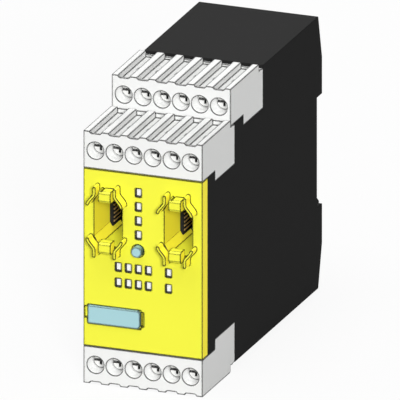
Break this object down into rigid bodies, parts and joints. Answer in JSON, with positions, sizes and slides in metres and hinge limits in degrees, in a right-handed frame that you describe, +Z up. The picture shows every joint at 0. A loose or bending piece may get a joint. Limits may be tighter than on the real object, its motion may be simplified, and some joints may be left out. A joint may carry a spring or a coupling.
{
  "type": "modular safety controller",
  "caption": "Rail-mounted safety control module: black housing, yellow front cover with interface bays and status windows, and white screw-terminal blocks.",
  "frame": {"origin": "centre of the face that seats on the mounting rail, on the module's middle plane", "axes": "+X right as seen from the front, +Y from the front towards the rail, +Z up"},
  "size_m": [0.045, 0.1242, 0.1063],
  "materials": {
    "black_plastic": "fine matt grain",
    "yellow_plastic": "smooth matt",
    "white_plastic": "smooth matt",
    "pale_blue_plastic": "smooth satin",
    "dark_plastic": "matt",
    "guide_plastic": "clear, polished ends",
    "lamp_plastic": "clear resin",
    "board_laminate": "solder mask",
    "socket_plastic": "matt",
    "blade_bronze": "satin",
    "relay_plastic": "satin",
    "capacitor_can": "sleeved",
    "latch_plastic": "smooth matt",
    "spring_steel": "drawn wire",
    "screw_steel": "zinc plated",
    "clamp_steel": "zinc plated",
    "contact_copper": "tinned strip"
  },
  "bodies": {
    "module": {"housing": "black_plastic", "front_cover": "yellow_plastic", "upper_front_terminal_block": "white_plastic", "upper_rear_terminal_block": "white_plastic", "lower_terminal_block": "white_plastic", "upper_front_contact_bars": "contact_copper", "upper_rear_contact_bars": "contact_copper", "lower_contact_bars": "contact_copper", "label_plate": "pale_blue_plastic", "tactile_switch": "dark_plastic", "light_guides": "guide_plastic", "status_leds": "lamp_plastic", "front_board": "board_laminate", "rear_board": "board_laminate", "left_interface_socket": "socket_plastic", "right_interface_socket": "socket_plastic", "interface_contacts": "blade_bronze", "board_headers": "dark_plastic", "safety_relays": "relay_plastic", "buffer_capacitors": "capacitor_can"},
    "reset_button": {"reset_button": "pale_blue_plastic", "switch_plunger": "dark_plastic"},
    "rail_latch": {"rail_latch": "latch_plastic", "latch_spring": "spring_steel"},
    "upper_front_screw_1": {"upper_front_screw_1": "screw_steel"},
    "upper_front_clamp_1": {"upper_front_clamp_1": "clamp_steel"},
    "upper_front_screw_2": {"upper_front_screw_2": "screw_steel"},
    "upper_front_clamp_2": {"upper_front_clamp_2": "clamp_steel"},
    "upper_front_screw_3": {"upper_front_screw_3": "screw_steel"},
    "upper_front_clamp_3": {"upper_front_clamp_3": "clamp_steel"},
    "upper_front_screw_4": {"upper_front_screw_4": "screw_steel"},
    "upper_front_clamp_4": {"upper_front_clamp_4": "clamp_steel"},
    "upper_front_screw_5": {"upper_front_screw_5": "screw_steel"},
    "upper_front_clamp_5": {"upper_front_clamp_5": "clamp_steel"},
    "upper_front_screw_6": {"upper_front_screw_6": "screw_steel"},
    "upper_front_clamp_6": {"upper_front_clamp_6": "clamp_steel"},
    "upper_rear_screw_1": {"upper_rear_screw_1": "screw_steel"},
    "upper_rear_clamp_1": {"upper_rear_clamp_1": "clamp_steel"},
    "upper_rear_screw_2": {"upper_rear_screw_2": "screw_steel"},
    "upper_rear_clamp_2": {"upper_rear_clamp_2": "clamp_steel"},
    "upper_rear_screw_3": {"upper_rear_screw_3": "screw_steel"},
    "upper_rear_clamp_3": {"upper_rear_clamp_3": "clamp_steel"},
    "upper_rear_screw_4": {"upper_rear_screw_4": "screw_steel"},
    "upper_rear_clamp_4": {"upper_rear_clamp_4": "clamp_steel"},
    "upper_rear_screw_5": {"upper_rear_screw_5": "screw_steel"},
    "upper_rear_clamp_5": {"upper_rear_clamp_5": "clamp_steel"},
    "upper_rear_screw_6": {"upper_rear_screw_6": "screw_steel"},
    "upper_rear_clamp_6": {"upper_rear_clamp_6": "clamp_steel"},
    "lower_screw_1": {"lower_screw_1": "screw_steel"},
    "lower_clamp_1": {"lower_clamp_1": "clamp_steel"},
    "lower_screw_2": {"lower_screw_2": "screw_steel"},
    "lower_clamp_2": {"lower_clamp_2": "clamp_steel"},
    "lower_screw_3": {"lower_screw_3": "screw_steel"},
    "lower_clamp_3": {"lower_clamp_3": "clamp_steel"},
    "lower_screw_4": {"lower_screw_4": "screw_steel"},
    "lower_clamp_4": {"lower_clamp_4": "clamp_steel"},
    "lower_screw_5": {"lower_screw_5": "screw_steel"},
    "lower_clamp_5": {"lower_clamp_5": "clamp_steel"},
    "lower_screw_6": {"lower_screw_6": "screw_steel"},
    "lower_clamp_6": {"lower_clamp_6": "clamp_steel"}
  },
  "joints": [
    {"name": "reset_button_push", "type": "slide", "parent": "module", "child": "reset_button", "axis": [0, 1, 0], "range_m": [0, 0.0005], "stiffness_N_per_m": 1500, "springref_m": -0.0002},
    {"name": "rail_latch_pull", "type": "slide", "parent": "module", "child": "rail_latch", "axis": [0, 0, -1], "range_m": [0, 0.0032], "stiffness_N_per_m": 1800, "springref_m": -0.0008, "deforming": ["latch_spring"]},
    {"name": "upper_front_screw_1_turn", "type": "hinge", "parent": "module", "child": "upper_front_screw_1", "pos_m": [-0.018, -0.1093, 0.03155], "axis": [0, 1, 0], "range_deg": [0, 1800]},
    {"name": "upper_front_clamp_1_rise", "type": "slide", "parent": "module", "child": "upper_front_clamp_1", "axis": [0, -1, 0], "range_m": [0, 0.0025]},
    {"name": "upper_front_screw_2_turn", "type": "hinge", "parent": "module", "child": "upper_front_screw_2", "pos_m": [-0.0108, -0.1093, 0.03155], "axis": [0, 1, 0], "range_deg": [0, 1800]},
    {"name": "upper_front_clamp_2_rise", "type": "slide", "parent": "module", "child": "upper_front_clamp_2", "axis": [0, -1, 0], "range_m": [0, 0.0025]},
    {"name": "upper_front_screw_3_turn", "type": "hinge", "parent": "module", "child": "upper_front_screw_3", "pos_m": [-0.0036, -0.1093, 0.03155], "axis": [0, 1, 0], "range_deg": [0, 1800]},
    {"name": "upper_front_clamp_3_rise", "type": "slide", "parent": "module", "child": "upper_front_clamp_3", "axis": [0, -1, 0], "range_m": [0, 0.0025]},
    {"name": "upper_front_screw_4_turn", "type": "hinge", "parent": "module", "child": "upper_front_screw_4", "pos_m": [0.0036, -0.1093, 0.03155], "axis": [0, 1, 0], "range_deg": [0, 1800]},
    {"name": "upper_front_clamp_4_rise", "type": "slide", "parent": "module", "child": "upper_front_clamp_4", "axis": [0, -1, 0], "range_m": [0, 0.0025]},
    {"name": "upper_front_screw_5_turn", "type": "hinge", "parent": "module", "child": "upper_front_screw_5", "pos_m": [0.0108, -0.1093, 0.03155], "axis": [0, 1, 0], "range_deg": [0, 1800]},
    {"name": "upper_front_clamp_5_rise", "type": "slide", "parent": "module", "child": "upper_front_clamp_5", "axis": [0, -1, 0], "range_m": [0, 0.0025]},
    {"name": "upper_front_screw_6_turn", "type": "hinge", "parent": "module", "child": "upper_front_screw_6", "pos_m": [0.018, -0.1093, 0.03155], "axis": [0, 1, 0], "range_deg": [0, 1800]},
    {"name": "upper_front_clamp_6_rise", "type": "slide", "parent": "module", "child": "upper_front_clamp_6", "axis": [0, -1, 0], "range_m": [0, 0.0025]},
    {"name": "upper_rear_screw_1_turn", "type": "hinge", "parent": "module", "child": "upper_rear_screw_1", "pos_m": [-0.018, -0.0809, 0.0432], "axis": [0, 1, 0], "range_deg": [0, 1800]},
    {"name": "upper_rear_clamp_1_rise", "type": "slide", "parent": "module", "child": "upper_rear_clamp_1", "axis": [0, -1, 0], "range_m": [0, 0.0025]},
    {"name": "upper_rear_screw_2_turn", "type": "hinge", "parent": "module", "child": "upper_rear_screw_2", "pos_m": [-0.0108, -0.0809, 0.0432], "axis": [0, 1, 0], "range_deg": [0, 1800]},
    {"name": "upper_rear_clamp_2_rise", "type": "slide", "parent": "module", "child": "upper_rear_clamp_2", "axis": [0, -1, 0], "range_m": [0, 0.0025]},
    {"name": "upper_rear_screw_3_turn", "type": "hinge", "parent": "module", "child": "upper_rear_screw_3", "pos_m": [-0.0036, -0.0809, 0.0432], "axis": [0, 1, 0], "range_deg": [0, 1800]},
    {"name": "upper_rear_clamp_3_rise", "type": "slide", "parent": "module", "child": "upper_rear_clamp_3", "axis": [0, -1, 0], "range_m": [0, 0.0025]},
    {"name": "upper_rear_screw_4_turn", "type": "hinge", "parent": "module", "child": "upper_rear_screw_4", "pos_m": [0.0036, -0.0809, 0.0432], "axis": [0, 1, 0], "range_deg": [0, 1800]},
    {"name": "upper_rear_clamp_4_rise", "type": "slide", "parent": "module", "child": "upper_rear_clamp_4", "axis": [0, -1, 0], "range_m": [0, 0.0025]},
    {"name": "upper_rear_screw_5_turn", "type": "hinge", "parent": "module", "child": "upper_rear_screw_5", "pos_m": [0.0108, -0.0809, 0.0432], "axis": [0, 1, 0], "range_deg": [0, 1800]},
    {"name": "upper_rear_clamp_5_rise", "type": "slide", "parent": "module", "child": "upper_rear_clamp_5", "axis": [0, -1, 0], "range_m": [0, 0.0025]},
    {"name": "upper_rear_screw_6_turn", "type": "hinge", "parent": "module", "child": "upper_rear_screw_6", "pos_m": [0.018, -0.0809, 0.0432], "axis": [0, 1, 0], "range_deg": [0, 1800]},
    {"name": "upper_rear_clamp_6_rise", "type": "slide", "parent": "module", "child": "upper_rear_clamp_6", "axis": [0, -1, 0], "range_m": [0, 0.0025]},
    {"name": "lower_screw_1_turn", "type": "hinge", "parent": "module", "child": "lower_screw_1", "pos_m": [-0.018, -0.1093, -0.0489], "axis": [0, 1, 0], "range_deg": [0, 1800]},
    {"name": "lower_clamp_1_rise", "type": "slide", "parent": "module", "child": "lower_clamp_1", "axis": [0, -1, 0], "range_m": [0, 0.0025]},
    {"name": "lower_screw_2_turn", "type": "hinge", "parent": "module", "child": "lower_screw_2", "pos_m": [-0.0108, -0.1093, -0.0489], "axis": [0, 1, 0], "range_deg": [0, 1800]},
    {"name": "lower_clamp_2_rise", "type": "slide", "parent": "module", "child": "lower_clamp_2", "axis": [0, -1, 0], "range_m": [0, 0.0025]},
    {"name": "lower_screw_3_turn", "type": "hinge", "parent": "module", "child": "lower_screw_3", "pos_m": [-0.0036, -0.1093, -0.0489], "axis": [0, 1, 0], "range_deg": [0, 1800]},
    {"name": "lower_clamp_3_rise", "type": "slide", "parent": "module", "child": "lower_clamp_3", "axis": [0, -1, 0], "range_m": [0, 0.0025]},
    {"name": "lower_screw_4_turn", "type": "hinge", "parent": "module", "child": "lower_screw_4", "pos_m": [0.0036, -0.1093, -0.0489], "axis": [0, 1, 0], "range_deg": [0, 1800]},
    {"name": "lower_clamp_4_rise", "type": "slide", "parent": "module", "child": "lower_clamp_4", "axis": [0, -1, 0], "range_m": [0, 0.0025]},
    {"name": "lower_screw_5_turn", "type": "hinge", "parent": "module", "child": "lower_screw_5", "pos_m": [0.0108, -0.1093, -0.0489], "axis": [0, 1, 0], "range_deg": [0, 1800]},
    {"name": "lower_clamp_5_rise", "type": "slide", "parent": "module", "child": "lower_clamp_5", "axis": [0, -1, 0], "range_m": [0, 0.0025]},
    {"name": "lower_screw_6_turn", "type": "hinge", "parent": "module", "child": "lower_screw_6", "pos_m": [0.018, -0.1093, -0.0489], "axis": [0, 1, 0], "range_deg": [0, 1800]},
    {"name": "lower_clamp_6_rise", "type": "slide", "parent": "module", "child": "lower_clamp_6", "axis": [0, -1, 0], "range_m": [0, 0.0025]}
  ],
  "couplings": [
    {"joint": "upper_front_screw_1_turn", "follows": "upper_front_clamp_1_rise", "rad_per_m": 12566},
    {"joint": "upper_front_screw_2_turn", "follows": "upper_front_clamp_2_rise", "rad_per_m": 12566},
    {"joint": "upper_front_screw_3_turn", "follows": "upper_front_clamp_3_rise", "rad_per_m": 12566},
    {"joint": "upper_front_screw_4_turn", "follows": "upper_front_clamp_4_rise", "rad_per_m": 12566},
    {"joint": "upper_front_screw_5_turn", "follows": "upper_front_clamp_5_rise", "rad_per_m": 12566},
    {"joint": "upper_front_screw_6_turn", "follows": "upper_front_clamp_6_rise", "rad_per_m": 12566},
    {"joint": "upper_rear_screw_1_turn", "follows": "upper_rear_clamp_1_rise", "rad_per_m": 12566},
    {"joint": "upper_rear_screw_2_turn", "follows": "upper_rear_clamp_2_rise", "rad_per_m": 12566},
    {"joint": "upper_rear_screw_3_turn", "follows": "upper_rear_clamp_3_rise", "rad_per_m": 12566},
    {"joint": "upper_rear_screw_4_turn", "follows": "upper_rear_clamp_4_rise", "rad_per_m": 12566},
    {"joint": "upper_rear_screw_5_turn", "follows": "upper_rear_clamp_5_rise", "rad_per_m": 12566},
    {"joint": "upper_rear_screw_6_turn", "follows": "upper_rear_clamp_6_rise", "rad_per_m": 12566},
    {"joint": "lower_screw_1_turn", "follows": "lower_clamp_1_rise", "rad_per_m": 12566},
    {"joint": "lower_screw_2_turn", "follows": "lower_clamp_2_rise", "rad_per_m": 12566},
    {"joint": "lower_screw_3_turn", "follows": "lower_clamp_3_rise", "rad_per_m": 12566},
    {"joint": "lower_screw_4_turn", "follows": "lower_clamp_4_rise", "rad_per_m": 12566},
    {"joint": "lower_screw_5_turn", "follows": "lower_clamp_5_rise", "rad_per_m": 12566},
    {"joint": "lower_screw_6_turn", "follows": "lower_clamp_6_rise", "rad_per_m": 12566}
  ]
}
